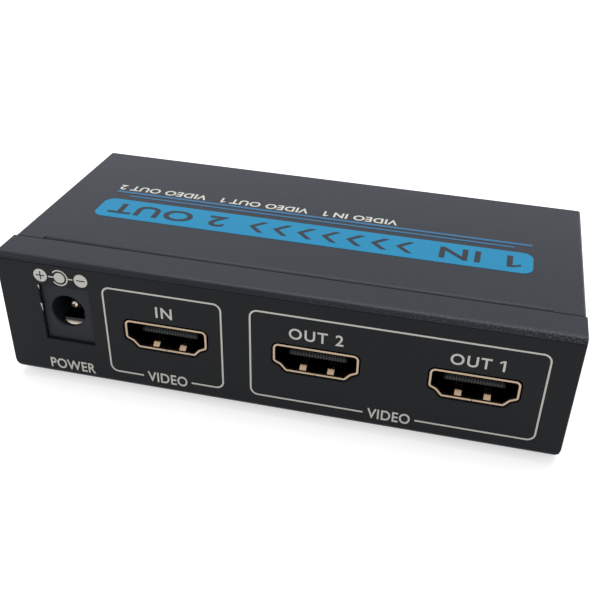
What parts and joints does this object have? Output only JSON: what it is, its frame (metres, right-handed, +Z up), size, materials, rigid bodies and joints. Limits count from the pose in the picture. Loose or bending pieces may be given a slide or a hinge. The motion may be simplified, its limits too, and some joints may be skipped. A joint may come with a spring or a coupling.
{
  "type": "video splitter",
  "caption": "Low black folded-steel box that repeats a video signal to several screens, with video ports and a round power jack along the front and indicator lamps along the back.",
  "frame": {"origin": "on the floor under the middle of the case's outer box, between the four feet", "axes": "+X along the case's length to the right of someone facing the connector panel, +Y from the connector panel to the indicator panel, +Z up"},
  "size_m": [0.1, 0.0474, 0.0257],
  "materials": {
    "coated_steel": "textured black powder coat",
    "panel_film": "matt printed film",
    "black_screws": "black oxide",
    "rubber": "matt",
    "board": "solder mask",
    "tin_plate": "tin plated",
    "shell_plate": "thin gold plating",
    "contact_gold": "gold plated",
    "moulded_black": "moulded",
    "spring_metal": "nickel plated",
    "can_metal": "drawn",
    "ferrite": "pressed",
    "ceramic": "fired",
    "resistor_black": "fired",
    "red_lens": "clear moulded",
    "green_lens": "clear moulded"
  },
  "bodies": {
    "case": {"bottom_tray": "coated_steel", "top_cover": "coated_steel", "connector_panel_film": "panel_film", "cover_screws": "black_screws", "rubber_feet": "rubber", "circuit_board": "board", "board_standoffs": "tin_plate", "board_screws": "tin_plate", "input_port_shell": "shell_plate", "input_port_insulator": "moulded_black", "input_port_contacts": "contact_gold", "output_1_port_shell": "shell_plate", "output_1_port_insulator": "moulded_black", "output_1_port_contacts": "contact_gold", "output_2_port_shell": "shell_plate", "output_2_port_insulator": "moulded_black", "output_2_port_contacts": "contact_gold", "power_jack_housing": "moulded_black", "power_jack_pin": "tin_plate", "power_jack_pin_terminal": "tin_plate", "power_jack_leaf_terminal": "tin_plate", "power_jack_switch_terminal": "tin_plate", "splitter_chip": "moulded_black", "splitter_chip_leads": "tin_plate", "memory_chip": "moulded_black", "memory_chip_leads": "tin_plate", "voltage_regulator": "moulded_black", "voltage_regulator_leads": "tin_plate", "crystal_can": "can_metal", "capacitor_cans": "can_metal", "capacitor_bases": "moulded_black", "power_inductor": "ferrite", "protection_arrays": "moulded_black", "chip_capacitors": "ceramic", "chip_resistors": "resistor_black", "power_led": "red_lens", "signal_leds": "green_lens", "led_leads": "tin_plate"},
    "input_floor_springs": {"input_port_floor_springs": "shell_plate"},
    "input_roof_springs": {"input_port_roof_springs": "shell_plate"},
    "output_1_floor_springs": {"output_1_port_floor_springs": "shell_plate"},
    "output_1_roof_springs": {"output_1_port_roof_springs": "shell_plate"},
    "output_2_floor_springs": {"output_2_port_floor_springs": "shell_plate"},
    "output_2_roof_springs": {"output_2_port_roof_springs": "shell_plate"},
    "jack_leaf": {"power_jack_leaf_spring": "spring_metal"}
  },
  "joints": [
    {"name": "input_floor_flex", "type": "hinge", "parent": "case", "child": "input_floor_springs", "pos_m": [-0.0196, -0.01765, 0.01077], "axis": [1, 0, 0], "range_deg": [0, 4], "stiffness_Nm_per_rad": 0.3},
    {"name": "input_roof_flex", "type": "hinge", "parent": "case", "child": "input_roof_springs", "pos_m": [-0.0196, -0.01765, 0.01578], "axis": [-1, 0, 0], "range_deg": [0, 4], "stiffness_Nm_per_rad": 0.3},
    {"name": "output_1_floor_flex", "type": "hinge", "parent": "case", "child": "output_1_floor_springs", "pos_m": [0.034, -0.01765, 0.01077], "axis": [1, 0, 0], "range_deg": [0, 4], "stiffness_Nm_per_rad": 0.3},
    {"name": "output_1_roof_flex", "type": "hinge", "parent": "case", "child": "output_1_roof_springs", "pos_m": [0.034, -0.01765, 0.01578], "axis": [-1, 0, 0], "range_deg": [0, 4], "stiffness_Nm_per_rad": 0.3},
    {"name": "output_2_floor_flex", "type": "hinge", "parent": "case", "child": "output_2_floor_springs", "pos_m": [0.0072, -0.01765, 0.01077], "axis": [1, 0, 0], "range_deg": [0, 4], "stiffness_Nm_per_rad": 0.3},
    {"name": "output_2_roof_flex", "type": "hinge", "parent": "case", "child": "output_2_roof_springs", "pos_m": [0.0072, -0.01765, 0.01578], "axis": [-1, 0, 0], "range_deg": [0, 4], "stiffness_Nm_per_rad": 0.3},
    {"name": "jack_leaf_flex", "type": "hinge", "parent": "case", "child": "jack_leaf", "pos_m": [-0.0379, -0.01435, 0.01], "axis": [1, 0, 0], "range_deg": [0, 5], "stiffness_Nm_per_rad": 0.2}
  ]
}
